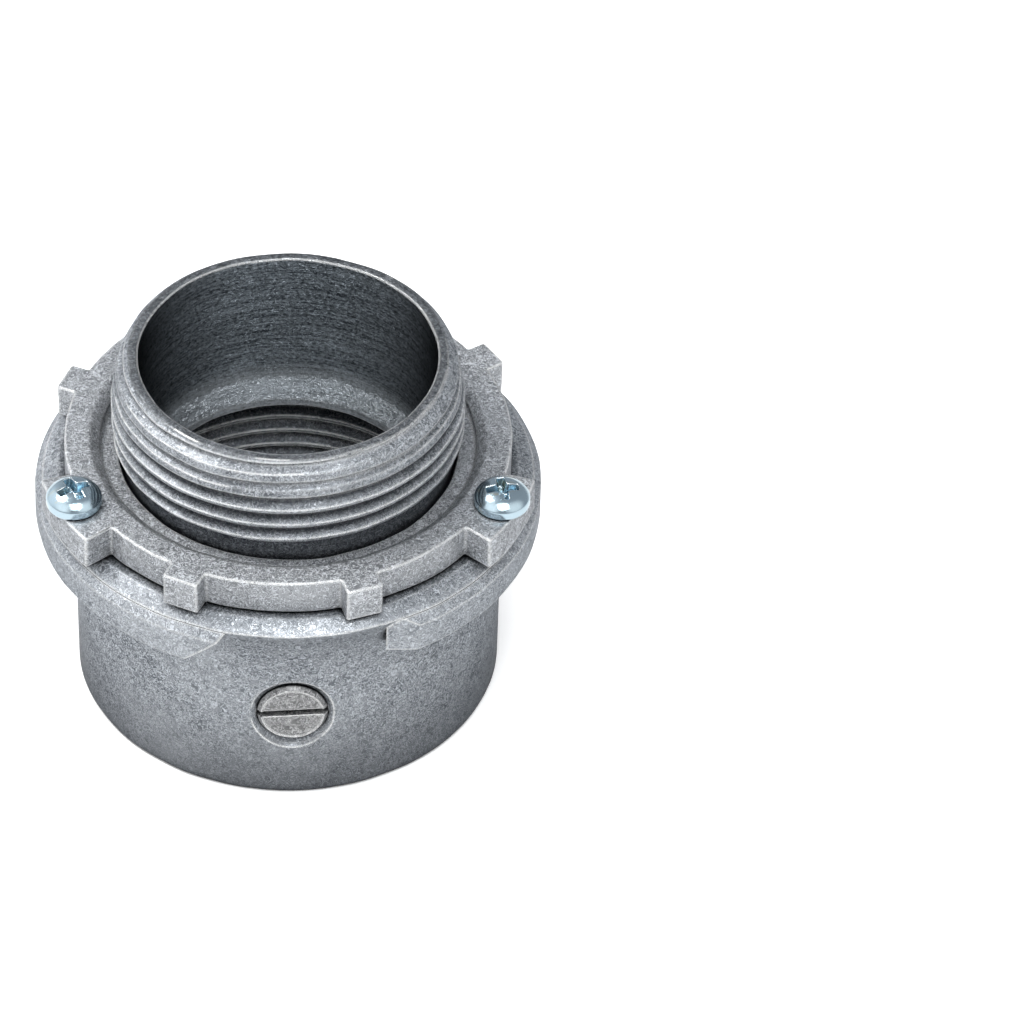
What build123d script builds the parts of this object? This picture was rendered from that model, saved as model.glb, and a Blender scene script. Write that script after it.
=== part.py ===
from build123d import *
import os
from math import cos, hypot, radians, sin, tan

# Threaded conduit hub for a 1-1/4 inch rigid conduit, with its locknut run down on the flange.
# The origin is on the hub's axis, in the plane of the flange face that meets the enclosure wall.
# +Z runs up the nipple, and the slotted plug in the barrel faces -Y.

os.makedirs("parts", exist_ok=True)

# Threads: 11.5 to the inch, straight, with 60 degree flanks
thread_pitch = 25.4 / 11.5
flank_angle = radians(30)

# Barrel, which takes the conduit from below
barrel_length = 30.2
barrel_radius = 25.8
barrel_edge = 0.8

# Socket inside the barrel: a chamfered mouth, the conduit thread and an undercut behind it
socket_crest_radius = 19.7
socket_root_radius = 20.9
socket_root_flat = 0.35
socket_mouth_radius = 21.7
socket_mouth_depth = 1.6
undercut_radius = 21.3
undercut_length = 1.2

# Throat, the smooth lip that the conduit stops against, and the funnel above it
throat_radius = 16.4
throat_length = 1.0
throat_depth = 5.2
funnel_length = 2.6
bore_radius = 17.7
bore_edge = 0.25

# Flange: a flat face, a sloping margin, a bevelled rim and a flared neck below it
face_radius = 27.6
flange_radius = 30.4
rim_bevel = 0.9
rim_bevel_drop = 1.0
rim_drop = 1.2
rim_step = 0.15
rim_height = 5.0
rim_lower_edge = 0.4
flare_length = 12.6

# Gap in the flange rim above the plug, with a slanted left end and a flat right end
gap_left_low = -12.1
gap_left_slope = radians(45)
gap_right = 11.5
gap_flat_distance = 26.2

# Nipple, which passes through the enclosure wall
nipple_length = 16.8
relief_radius = 19.9
relief_length = 5.6
relief_chamfer = 0.4
nipple_crest_radius = 21.0
nipple_root_radius = 19.75
nipple_root_flat = 0.35
thread_crest_flat = 0.5
taper_length = 5.8
lead_drop = 0.95
lead_length = 1.3
collar_wall = 1.45
collar_length = 0.85
collar_chamfer = 0.35

# Groove in the flange face for the sealing ring
seal_groove_inner = 21.4
seal_groove_width = 3.2
seal_groove_depth = 2.2
seal_side_clearance = 0.15
seal_top_clearance = 0.1
seal_corner = 0.7

# Locknut
locknut_radius = 26.7
locknut_thickness = 4.6
locknut_play = 0.35
locknut_thread_depth = 1.2
locknut_countersink_radius = 23.7
locknut_counterbore_radius = 22.5
locknut_countersink_depth = 1.0
locknut_counterbore_depth = 1.9
locknut_edge = 0.25
lug_reach = 2.2
lug_width = 4.4
lug_corner = 0.5
lug_angles = [-25.7, 18.0, 120.5, 180.0, 249.0]
ear_reach = 3.7
ear_span = 23.0
ear_angle = 62.5
ear_root = 0.5

# Pan-head bonding screws in the ears
screw_margin = 2.31
screw_angle = 63.5
screw_shank_radius = 1.75
screw_fit = 0.05
screw_head_radius = 3.3
screw_head_height = 2.45
screw_head_side = 0.8
screw_crown_radius = 2.1
screw_crown_drop = 0.25
screw_tip_gap = 0.25
screw_tip_chamfer = 0.3
recess_span = 3.9
recess_slot = 0.95
recess_depth = 1.3
recess_draft = 14
recess_core_radius = 0.95
screw_turns = {"bonding_screw_left": 28, "bonding_screw_right": 8}

# Slotted plug in the barrel wall, with a dished seat round it
plug_height = 12.9
plug_angle = 1.2
plug_radius = 4.2
plug_fit = 0.05
plug_recess = 0.1
plug_bevel = 0.5
plug_bevel_depth = 0.55
plug_length = 4.3
plug_slot_width = 0.95
plug_slot_depth = 1.1
plug_slot_tilt = 3
plug_slot_rise = 0.2
dish_radius = 5.15
dish_depth = 0.75

# Heights that follow from the sizes above
base_z = -barrel_length
shoulder_z = -rim_drop
rim_bottom_z = shoulder_z - rim_height
flare_start_z = shoulder_z - flare_length
shoulder_radius = flange_radius - rim_bevel
funnel_top_z = funnel_length - throat_depth + throat_length
throat_top_z = funnel_top_z - funnel_length
throat_bottom_z = throat_top_z - throat_length
socket_top_z = throat_bottom_z - undercut_length
socket_bottom_z = base_z + socket_mouth_depth
nipple_thread_z = relief_length + relief_chamfer
taper_start_z = nipple_length - taper_length
lead_z = nipple_length - lead_length
lead_radius = nipple_crest_radius - lead_drop
collar_radius = bore_radius + collar_wall
locknut_crest_radius = relief_radius + locknut_play
locknut_root_radius = locknut_crest_radius + locknut_thread_depth
lug_radius = locknut_radius + lug_reach
ear_radius = locknut_radius + ear_reach
screw_circle_radius = ear_radius - screw_margin
plug_z = base_z + plug_height
plug_face = barrel_radius - plug_recess


def polar_point(radius, angle, height=0):
    """Point on a circle, with the angle in degrees from the front, positive to the right."""
    return (radius * sin(radians(angle)), -radius * cos(radians(angle)), height)


def groove_points(crest_radius, root_radius, root_flat, height):
    """Corners of one thread groove in the radius and height plane, open past the crest."""
    outward = 1 if crest_radius > root_radius else -1
    mouth_radius = crest_radius + outward * root_flat
    half_root = root_flat / 2
    half_mouth = half_root + abs(mouth_radius - root_radius) * tan(flank_angle)
    return [
        (root_radius, height - half_root),
        (root_radius, height + half_root),
        (mouth_radius, height + half_mouth),
        (mouth_radius, height - half_mouth),
    ]


# Directions of the plug: out of the barrel, and sideways
plug_out = polar_point(1, plug_angle)
plug_side = polar_point(1, plug_angle + 90)
plug_axis = Axis((0, 0, plug_z), plug_out)


# Flange rim: a band that stands out round the neck, cut away above the plug
rim_outline = [
    (barrel_radius, rim_bottom_z),
    (flange_radius - rim_lower_edge, rim_bottom_z),
    (flange_radius, rim_bottom_z + rim_lower_edge),
    (flange_radius, shoulder_z - rim_step - rim_bevel_drop),
    (shoulder_radius, shoulder_z - rim_step),
    (barrel_radius, shoulder_z - rim_step - rim_drop),
]
gap_low_z = rim_bottom_z - rim_height
gap_high_z = shoulder_z + rim_height
gap_left_foot = gap_left_low - (rim_bottom_z - gap_low_z) / tan(gap_left_slope)
gap_outline = [
    (gap_left_foot, gap_low_z),
    (gap_right, gap_low_z),
    (gap_right, gap_high_z),
    (gap_left_foot + (gap_high_z - gap_low_z) / tan(gap_left_slope), gap_high_z),
]

with BuildPart() as flange_rim:
    with BuildSketch(Plane.XZ):
        Polygon(*rim_outline, align=None)
    revolve(axis=Axis.Z)
    with BuildSketch(Plane.XZ):
        Polygon(*gap_outline, align=None)
    extrude(amount=2 * flange_radius, mode=Mode.SUBTRACT)
    with BuildSketch(Plane.XZ.offset(gap_flat_distance)):
        with Locations((gap_right, (gap_low_z + gap_high_z) / 2)):
            Rectangle(flange_radius - gap_right, gap_high_z - gap_low_z, align=(Align.MIN, Align.CENTER))
    extrude(amount=flange_radius, mode=Mode.SUBTRACT)

# Hub body, one casting: barrel, neck, flange and nipple round one bore
with BuildPart() as hub_body:
    with BuildSketch(Plane.XZ):
        with BuildLine():
            Polyline(
                (barrel_radius, base_z + barrel_edge),
                (barrel_radius, flare_start_z),
            )
            TangentArc((barrel_radius, flare_start_z), (shoulder_radius, shoulder_z), tangent=(0, 1))
            Polyline(
                (shoulder_radius, shoulder_z),
                (face_radius, 0),
                (relief_radius, 0),
                (relief_radius, relief_length),
                (nipple_crest_radius, nipple_thread_z),
                (nipple_crest_radius, taper_start_z),
                (lead_radius, lead_z),
                (collar_radius, nipple_length - collar_length),
                (collar_radius, nipple_length - collar_chamfer),
                (collar_radius - collar_chamfer, nipple_length),
                (bore_radius + bore_edge, nipple_length),
                (bore_radius, nipple_length - bore_edge),
                (bore_radius, funnel_top_z),
                (throat_radius, throat_top_z),
                (throat_radius, throat_bottom_z),
                (undercut_radius, throat_bottom_z),
                (undercut_radius, socket_top_z),
                (socket_crest_radius, socket_top_z),
                (socket_crest_radius, socket_bottom_z),
                (socket_mouth_radius, base_z),
                (barrel_radius - barrel_edge, base_z),
            )
            TangentArc(
                (barrel_radius - barrel_edge, base_z),
                (barrel_radius, base_z + barrel_edge),
                tangent=(1, 0),
            )
        make_face()
    revolve(axis=Axis.Z)
    add(flange_rim.part)
    # Thread grooves of the nipple, from the relief up, and of the socket, from the undercut down
    nipple_grooves = int((lead_z - nipple_thread_z - thread_crest_flat) / thread_pitch)
    socket_grooves = int((socket_top_z - socket_bottom_z - thread_crest_flat) / thread_pitch)
    with BuildSketch(Plane.XZ):
        for turn in range(nipple_grooves):
            height = nipple_thread_z + (thread_crest_flat + thread_pitch) / 2 + turn * thread_pitch
            Polygon(
                *groove_points(nipple_crest_radius, nipple_root_radius, nipple_root_flat, height),
                align=None,
            )
        for turn in range(socket_grooves):
            height = socket_top_z - (thread_crest_flat + thread_pitch) / 2 - turn * thread_pitch
            Polygon(
                *groove_points(socket_crest_radius, socket_root_radius, socket_root_flat, height),
                align=None,
            )
    revolve(axis=Axis.Z, mode=Mode.SUBTRACT)
    # Groove for the sealing ring
    with BuildSketch():
        Circle(seal_groove_inner + seal_groove_width)
        Circle(seal_groove_inner, mode=Mode.SUBTRACT)
    extrude(amount=-seal_groove_depth, mode=Mode.SUBTRACT)
    # Plug hole through the wall, with its dished seat
    hole_start = polar_point(socket_crest_radius / 2, plug_angle, plug_z)
    with BuildSketch(Plane(origin=hole_start, z_dir=plug_out)):
        Circle(plug_radius + plug_fit)
    extrude(amount=barrel_radius, mode=Mode.SUBTRACT)
    with BuildSketch(Plane(origin=(0, 0, plug_z), x_dir=plug_out, z_dir=plug_side)):
        with BuildLine():
            Polyline(
                (barrel_radius - dish_depth, 0),
                (barrel_radius - dish_depth, plug_radius),
                (barrel_radius, dish_radius),
                (barrel_radius + dish_depth, dish_radius + dish_depth),
                (barrel_radius + dish_depth, 0),
                close=True,
            )
        make_face()
    revolve(axis=plug_axis, mode=Mode.SUBTRACT)
hub_body.part.label = "hub_body"

# Sealing ring, pressed flat in its groove under the locknut
with BuildPart() as sealing_ring:
    with BuildSketch(Plane.XZ):
        with Locations((seal_groove_inner + seal_groove_width / 2, -seal_groove_depth)):
            RectangleRounded(
                seal_groove_width - 2 * seal_side_clearance,
                seal_groove_depth - seal_top_clearance,
                seal_corner,
                align=(Align.CENTER, Align.MIN),
            )
    revolve(axis=Axis.Z)
sealing_ring.part.label = "sealing_ring"

# Locknut: a ring with plain lugs and two ears that hold the bonding screws
ear_left = polar_point(ear_radius, ear_angle - ear_span / 2)
ear_right = polar_point(ear_radius, ear_angle + ear_span / 2)
ear_middle = polar_point(ear_radius, ear_angle)

with BuildPart() as locknut:
    with BuildSketch():
        Circle(locknut_radius)
        for angle in lug_angles:
            with Locations(Rotation(0, 0, angle)):
                with Locations((0, -lug_radius)):
                    Rectangle(lug_width, lug_radius - relief_radius, align=(Align.CENTER, Align.MIN))
        for side in (1, -1):
            with BuildLine():
                Line((0, 0), (side * ear_left[0], ear_left[1]))
                ThreePointArc(
                    (side * ear_left[0], ear_left[1]),
                    (side * ear_middle[0], ear_middle[1]),
                    (side * ear_right[0], ear_right[1]),
                )
                Line((side * ear_right[0], ear_right[1]), (0, 0))
            make_face()
    extrude(amount=locknut_thickness)
    upright = locknut.edges().filter_by(Axis.Z)
    outer_corners = upright.filter_by(
        lambda edge: hypot(edge.center().X, edge.center().Y) > (locknut_radius + lug_radius) / 2
    )
    fillet(outer_corners, lug_corner)
    inner_corners = locknut.edges().filter_by(Axis.Z).filter_by(
        lambda edge: abs(hypot(edge.center().X, edge.center().Y) - locknut_radius) < lug_corner / 2
    )
    fillet(inner_corners, ear_root)
    top_edges = locknut.faces().sort_by(Axis.Z)[-1].outer_wire().edges()
    chamfer(top_edges, locknut_edge)
    with BuildSketch(Plane.XZ):
        Polygon(
            (0, -locknut_edge),
            (locknut_crest_radius, -locknut_edge),
            (locknut_crest_radius, locknut_thickness - locknut_counterbore_depth),
            (locknut_counterbore_radius, locknut_thickness - locknut_counterbore_depth),
            (locknut_counterbore_radius, locknut_thickness - locknut_countersink_depth),
            (locknut_countersink_radius, locknut_thickness),
            (locknut_countersink_radius, locknut_thickness + locknut_edge),
            (0, locknut_thickness + locknut_edge),
            align=None,
        )
    revolve(axis=Axis.Z, mode=Mode.SUBTRACT)
    with BuildSketch(Plane.XZ):
        Polygon(
            *groove_points(
                locknut_crest_radius,
                locknut_root_radius,
                socket_root_flat,
                (locknut_thickness - locknut_counterbore_depth) / 2,
            ),
            align=None,
        )
    revolve(axis=Axis.Z, mode=Mode.SUBTRACT)
    with Locations(
        polar_point(screw_circle_radius, screw_angle, locknut_thickness),
        polar_point(screw_circle_radius, -screw_angle, locknut_thickness),
    ):
        Hole(screw_shank_radius + screw_fit, depth=locknut_thickness)
locknut.part.label = "locknut"


def bonding_screw(name, angle):
    """Pan-head screw seated on the locknut at an angle from the front, with a cross recess."""
    seat = Vector(*polar_point(screw_circle_radius, angle, locknut_thickness))
    shank_length = locknut_thickness - screw_tip_gap
    axis = Axis(seat, (0, 0, 1))
    with BuildPart() as screw:
        with BuildSketch(Plane(origin=seat, x_dir=(1, 0, 0), z_dir=(0, -1, 0))):
            with BuildLine():
                Polyline(
                    (0, screw_head_height),
                    (0, -shank_length),
                    (screw_shank_radius - screw_tip_chamfer, -shank_length),
                    (screw_shank_radius, screw_tip_chamfer - shank_length),
                    (screw_shank_radius, 0),
                    (screw_head_radius, 0),
                    (screw_head_radius, screw_head_side),
                )
                TangentArc(
                    (screw_head_radius, screw_head_side),
                    (screw_crown_radius, screw_head_height - screw_crown_drop),
                    tangent=(0, 1),
                )
                TangentArc(
                    (0, screw_head_height),
                    (screw_crown_radius, screw_head_height - screw_crown_drop),
                    tangent=(1, 0),
                )
            make_face()
        revolve(axis=axis)
        recess_plane = Plane(origin=seat + Vector(0, 0, screw_head_height), z_dir=(0, 0, 1))
        with BuildSketch(recess_plane.rotated((0, 0, screw_turns[name]))):
            Rectangle(recess_span, recess_slot)
            Rectangle(recess_slot, recess_span)
            Circle(recess_core_radius)
        extrude(amount=-recess_depth, taper=recess_draft, mode=Mode.SUBTRACT)
    screw.part.label = name
    export_step(screw.part, f"parts/{name}.step")


bonding_screw("bonding_screw_left", -screw_angle)
bonding_screw("bonding_screw_right", screw_angle)

# Slotted plug, screwed into the barrel wall flush with its outside
with BuildPart() as slotted_plug:
    with BuildSketch(Plane(origin=(0, 0, plug_z), x_dir=plug_out, z_dir=plug_side)):
        Polygon(
            (plug_face - plug_length, 0),
            (plug_face - plug_length, plug_radius - plug_bevel),
            (plug_face - plug_length + plug_bevel, plug_radius),
            (plug_face - plug_bevel_depth, plug_radius),
            (plug_face, plug_radius - plug_bevel),
            (plug_face, 0),
            align=None,
        )
    revolve(axis=plug_axis)
    face_middle = polar_point(plug_face, plug_angle, plug_z + plug_slot_rise)
    slot_plane = Plane(origin=face_middle, x_dir=plug_side, z_dir=plug_out)
    with BuildSketch(slot_plane.rotated((0, 0, plug_slot_tilt))):
        Rectangle(2 * plug_radius, plug_slot_width)
    extrude(amount=-plug_slot_depth, mode=Mode.SUBTRACT)
slotted_plug.part.label = "slotted_plug"

for piece in (hub_body, sealing_ring, locknut, slotted_plug):
    export_step(piece.part, f"parts/{piece.part.label}.step")
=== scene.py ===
"""Threaded conduit hub: cast body, lugged locknut, bonding screws, side plug and seal."""

import logging
import math
from dataclasses import dataclass
from enum import Enum
from typing import Iterable, Sequence

import bmesh
import bpy
import numpy as np
from mathutils import Matrix, Vector, noise

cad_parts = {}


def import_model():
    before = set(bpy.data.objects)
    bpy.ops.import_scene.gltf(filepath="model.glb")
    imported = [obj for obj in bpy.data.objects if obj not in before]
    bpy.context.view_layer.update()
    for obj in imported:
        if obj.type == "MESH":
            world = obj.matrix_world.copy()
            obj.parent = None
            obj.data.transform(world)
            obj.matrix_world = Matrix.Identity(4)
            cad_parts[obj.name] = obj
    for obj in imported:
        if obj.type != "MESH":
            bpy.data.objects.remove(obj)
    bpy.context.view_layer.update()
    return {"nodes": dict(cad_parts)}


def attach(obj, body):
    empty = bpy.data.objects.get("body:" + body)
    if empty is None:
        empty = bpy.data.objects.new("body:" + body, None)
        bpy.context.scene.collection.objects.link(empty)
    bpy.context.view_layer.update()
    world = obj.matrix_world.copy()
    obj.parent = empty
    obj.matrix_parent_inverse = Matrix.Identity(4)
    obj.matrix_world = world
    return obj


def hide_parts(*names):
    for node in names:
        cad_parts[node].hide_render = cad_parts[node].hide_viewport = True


LOG = logging.getLogger("conduit_hub")

MM = 0.001
PITCH = 25.4 / 11.5
FLANK = math.tan(math.radians(30))
FRONT = math.radians(-90)
STRAIGHT = math.radians(88)
MERGE = 1e-4
ARC_SHARE = 0.45

MIX_INPUTS = (0, 6, 7)
MIX_RESULT = 2
BEVEL_SAMPLES = 4
CREVICE_SAMPLES = 5
WEAR_AND_SHEEN_COSINES = (0.993, 0.93)
BRIGHTENING = 2.2
CONTACT_REACH = 0.7 * MM
# Starts the noise, which would start from the clock.
MOULD_SEED = 1

# Radii and heights at which a part's look starts and is full, in metres.
THROAT_LIP = (0.8 * MM, -1.2 * MM)
GROOVE_DEPTH = (20.85 * MM, 20.05 * MM)
OUTER_WALL = (18.3 * MM, 18.6 * MM)
BELOW_TAPER = (14.2 * MM, 11.5 * MM)
RIM_FACE = (16.55 * MM, 16.7 * MM)
RAISED_FLANGE = (28.5 * MM, 29.1 * MM)
LOW_BARREL = (-16 * MM, -30 * MM)

Point = tuple[float, float]
Colour = tuple[float, float, float]
Piece = bpy.types.Object
Socket = bpy.types.NodeSocket
Inputs = dict[int | str, object]

BLACK: Colour = (0.0, 0.0, 0.0)
WHITE: Colour = (1.0, 1.0, 1.0)


class Shading(Enum):
    """How sharply neighbouring faces of a piece are told apart."""

    CAST = math.radians(38)
    TURNED = math.radians(30)


class PitsAndShade(Enum):
    """Colour of pits in a casting, and colours of painted shade and shadow; the painted shade
    toward the bottom has a dark and a light end.
    """

    PIT = (0.04, 0.042, 0.047)
    BOTTOM_SHADE = ((0.05, 0.053, 0.058), (0.13, 0.135, 0.145))
    CREVICE_SHADE = (0.012, 0.014, 0.017)
    CONTACT_SHADOW = (0.004, 0.005, 0.006)


class MachinedAndShaded(Enum):
    """Colours of the body's machined parts, with a painted highlight on the throat's lip and
    painted shade in the thread's grooves; the bore has a dark and a light end.
    """

    BORE = ((0.05, 0.06, 0.07), (0.66, 0.73, 0.80))
    LIP_HIGHLIGHT = (0.66, 0.70, 0.74)
    GROOVE_SHADE = (0.028, 0.032, 0.038)
    RIM = (0.06, 0.065, 0.07)


@dataclass(frozen=True)
class Knot:
    """Corner of an outline in millimetres, with the radius that rounds it."""

    across: float
    along: float
    radius: float = 0.0


@dataclass(frozen=True)
class Shell:
    """Vertices in millimetres and the faces between them."""

    vertices: np.ndarray
    faces: list[tuple[int, ...]]


def rounded(knots: Sequence[Knot], closed: bool = False, steps: int = 4) -> np.ndarray:
    """Replaces each rounded corner of an outline with a short arc.

    Args:
        knots: the outline's corners in order.
        closed: whether the last corner joins the first.
        steps: segments in each arc.

    Returns:
        The outline's points, one row each.
    """
    count = len(knots)
    places = np.array([(knot.across, knot.along) for knot in knots])
    points: list[np.ndarray] = []
    for index, (here, knot) in enumerate(zip(places, knots)):
        ends = not closed and index in (0, count - 1)
        if knot.radius <= 0 or ends:
            points.append(here)
            continue
        sides = [places[index - 1] - here, places[(index + 1) % count] - here]
        lengths = [float(np.linalg.norm(side)) for side in sides]
        back, ahead = (side / length for side, length in zip(sides, lengths))
        half = math.acos(float(np.clip(back @ ahead, -1, 1))) / 2
        if half > STRAIGHT:
            points.append(here)
            continue
        reach = min(knot.radius / math.tan(half), ARC_SHARE * min(lengths))
        radius = reach * math.tan(half)
        middle = (back + ahead) / np.linalg.norm(back + ahead)
        centre = here + middle * radius / math.sin(half)
        first = here + back * reach - centre
        last = here + ahead * reach - centre
        start = math.atan2(first[1], first[0])
        sweep = (math.atan2(last[1], last[0]) - start + math.pi) % (2 * math.pi) - math.pi
        for step in range(steps + 1):
            angle = start + sweep * step / steps
            points.append(centre + radius * np.array([math.cos(angle), math.sin(angle)]))
    return np.array(points)


def woven(grid: np.ndarray, closed_rows: bool) -> Shell:
    """Joins a ring of columns of 3-D points into a surface.

    Args:
        grid: points by column, row and coordinate.
        closed_rows: whether each column's last point joins its first.

    Returns:
        The surface.
    """
    count, rows = grid.shape[:2]
    faces = []
    for column in range(count):
        here, there = column * rows, (column + 1) % count * rows
        for row in range(rows if closed_rows else rows - 1):
            above = (row + 1) % rows
            faces.append((here + row, there + row, there + above, here + above))
    return Shell(grid.reshape(-1, 3), faces)


def turned(path: np.ndarray, angles: np.ndarray, closed_path: bool = False) -> Shell:
    """Revolves an outline of radius and height about the Z axis.

    Args:
        path: points of radius and height.
        angles: the columns' angles, over a full turn.
        closed_path: whether the outline's last point joins its first.

    Returns:
        The surface of revolution.
    """
    cosines, sines = np.cos(angles)[:, None], np.sin(angles)[:, None]
    radii = path[None, :, 0]
    heights = np.broadcast_to(path[:, 1], (len(angles), len(path)))
    return woven(np.stack([cosines * radii, sines * radii, heights], axis=2), closed_path)


def lofted(loops: Sequence[np.ndarray]) -> Shell:
    """Joins equal loops of 3-D points into a closed body with flat ends."""
    size = len(loops[0])
    faces: list[tuple[int, ...]] = [tuple(range(size))]
    for level in range(len(loops) - 1):
        base = level * size
        for index in range(size):
            ahead = (index + 1) % size
            faces.append((base + index, base + size + index, base + size + ahead, base + ahead))
    top = (len(loops) - 1) * size
    faces.append(tuple(range(top + size - 1, top - 1, -1)))
    return Shell(np.concatenate(loops), faces)


def raised(points: Sequence[Point] | np.ndarray, height: float) -> np.ndarray:
    """Lifts points of the level plane to a height."""
    return np.column_stack([points, np.full(len(points), height)])


def prism(points: Sequence[Point] | np.ndarray, low: float, high: float) -> Shell:
    """Upright body over a level outline."""
    return lofted([raised(points, low), raised(points, high)])


def around(angles: np.ndarray) -> np.ndarray:
    """Points of the unit circle at the given angles."""
    return np.column_stack([np.cos(angles), np.sin(angles)])


def unit(rows: np.ndarray) -> np.ndarray:
    """Rows scaled to a length of one."""
    return rows / np.linalg.norm(rows, axis=1)[:, None]


def radius_at(outline: Sequence[Point], height: np.ndarray) -> np.ndarray:
    """Radius of an outline of radius and height at the given heights."""
    radii, heights = zip(*outline)
    return np.interp(height, heights, radii)


@dataclass(frozen=True)
class Thread:
    """Right-hand helical thread between two heights, cut into a turned envelope.

    A groove's middle crosses the front at groove_height, and a pitch has samples rows.
    """

    low: float
    high: float
    envelope: tuple[Point, ...]
    roots: tuple[Point, ...]
    male: bool
    groove_height: float
    root_flat: float = 0.35
    samples: int = 20

    def radius(self, height: np.ndarray, phase: np.ndarray) -> np.ndarray:
        """Wall radius at a height and at a distance in pitches from the groove's middle."""
        wall = radius_at(self.envelope, height)
        root = radius_at(self.roots, height)
        aside = np.abs((phase + 0.5) % 1 - 0.5) * PITCH
        rise = np.clip((aside - self.root_flat / 2) / FLANK, 0, None)
        if self.male:
            return np.minimum(wall, root + rise)
        return np.maximum(wall, root - rise)

    def shell(self, angles: np.ndarray) -> Shell:
        """Builds the threaded wall on the given columns, which start at the back seam."""
        turns = np.arange(len(angles)) / len(angles)
        front = 0.5
        lowest = math.floor((self.low - self.groove_height) / PITCH) - 2
        highest = math.ceil((self.high - self.groove_height) / PITCH) + 2
        rows = (highest - lowest) * self.samples + 1
        phase = lowest + np.arange(rows) / self.samples
        height = self.groove_height + PITCH * (phase[None, :] + turns[:, None] - front)
        clamped = np.clip(height, self.low, self.high)
        true_phase = (clamped - self.groove_height) / PITCH - (turns[:, None] - front)
        radius = self.radius(clamped, true_phase)
        ends = (clamped <= self.low) | (clamped >= self.high)
        radius = np.where(ends, radius_at(self.envelope, clamped), radius)
        cosines, sines = np.cos(angles)[:, None], np.sin(angles)[:, None]
        grid = np.stack([cosines * radius, sines * radius, clamped], axis=2)
        faces = []
        count = len(angles)
        for column in range(count):
            last = column == count - 1
            here = column * rows
            there = 0 if last else here + rows
            shift = self.samples if last else 0
            for row in range(rows - 1 - shift):
                pair = (clamped[column, row], clamped[column, row + 1])
                ahead = clamped[(column + 1) % count, row + shift : row + shift + 2]
                if max(*pair, *ahead) <= self.low or min(*pair, *ahead) >= self.high:
                    continue
                beside = there + row + shift
                faces.append((here + row, beside, beside + 1, here + row + 1))
        return Shell(grid.reshape(-1, 3), faces)


def linked(name: str, data: bpy.types.ID) -> Piece:
    """Adds an object to the scene."""
    thing = bpy.data.objects.new(name, data)
    bpy.context.scene.collection.objects.link(thing)
    return thing


def discard(piece: Piece) -> None:
    """Removes a piece and its mesh."""
    mesh = piece.data
    bpy.data.objects.remove(piece)
    bpy.data.meshes.remove(mesh)


def mesh_object(name: str, shells: Iterable[Shell]) -> Piece:
    """Makes one object of several shells, with coincident vertices merged.

    Args:
        name: the object's name.
        shells: the shells, in millimetres.

    Returns:
        The new object, in metres, linked to the scene.
    """
    vertices: list[np.ndarray] = []
    faces: list[tuple[int, ...]] = []
    offset = 0
    for shell in shells:
        vertices.append(shell.vertices)
        faces.extend(tuple(index + offset for index in face) for face in shell.faces)
        offset += len(shell.vertices)
    mesh = bpy.data.meshes.new(name)
    mesh.from_pydata((np.concatenate(vertices) * MM).tolist(), [], faces)
    bench = bmesh.new()
    bench.from_mesh(mesh)
    bmesh.ops.remove_doubles(bench, verts=bench.verts, dist=MERGE * MM)
    loose = [vertex for vertex in bench.verts if not vertex.link_faces]
    bmesh.ops.delete(bench, geom=loose, context="VERTS")
    bmesh.ops.recalc_face_normals(bench, faces=bench.faces)
    bench.to_mesh(mesh)
    bench.free()
    return linked(name, mesh)


def cut(piece: Piece, cutters: Sequence[Shell]) -> None:
    """Cuts the given bodies out of a piece and keeps the result as its mesh."""
    for index, shell in enumerate(cutters):
        tool = mesh_object(f"{piece.name}_cutter_{index}", [shell])
        modifier = piece.modifiers.new("cut", "BOOLEAN")
        modifier.operation = "DIFFERENCE"
        modifier.solver = "EXACT"
        modifier.object = tool
        bpy.context.view_layer.update()
        graph = bpy.context.evaluated_depsgraph_get()
        carved = bpy.data.meshes.new_from_object(piece.evaluated_get(graph))
        piece.modifiers.remove(modifier)
        old = piece.data
        piece.data = carved
        bpy.data.meshes.remove(old)
        discard(tool)
        piece.data.name = piece.name


def smooth(piece: Piece, shading: Shading) -> None:
    """Shades a piece smooth and keeps the edges that are sharper than its kind allows."""
    piece.data.polygons.foreach_set("use_smooth", [True] * len(piece.data.polygons))
    piece.data.set_sharp_from_angle(angle=shading.value)


def wobble(piece: Piece, amount: float, spacing: float, seed: float) -> None:
    """Moves a casting's skin a little, as an uneven mould does.

    Args:
        piece: the piece, in metres.
        amount: largest move in millimetres.
        spacing: distance between the bumps in millimetres.
        seed: picks another pattern.
    """
    noise.seed_set(MOULD_SEED)
    shift = Vector((seed, seed * 0.7, -seed))
    for vertex in piece.data.vertices:
        place = vertex.co / (spacing * MM) + shift
        vertex.co += noise.noise_vector(place) * amount * MM


def polar(radius: float, azimuth: float) -> Point:
    """Point on a circle, with the azimuth in degrees from the front, positive to the right."""
    angle = math.radians(azimuth)
    return radius * math.sin(angle), -radius * math.cos(angle)


def turned_out(places: np.ndarray, azimuth: float, height: float) -> np.ndarray:
    """Turns points that stand on the Z axis until they face out of the barrel.

    Args:
        places: points with Z along the plug's own axis and Y up.
        azimuth: degrees from the front, positive to the right.
        height: height of the plug's axis.

    Returns:
        The points in the hub's frame.
    """
    side_x, side_y = polar(1.0, azimuth + 90)
    out_x, out_y = polar(1.0, azimuth)
    across, up, out = places.T
    x = across * side_x + out * out_x
    y = across * side_y + out * out_y
    return np.stack([x, y, up + height], axis=1)


def columns(count: int) -> np.ndarray:
    """Angles of evenly spread columns that start at the back, opposite the plug."""
    return FRONT - math.pi + 2 * math.pi * np.arange(count) / count


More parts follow.
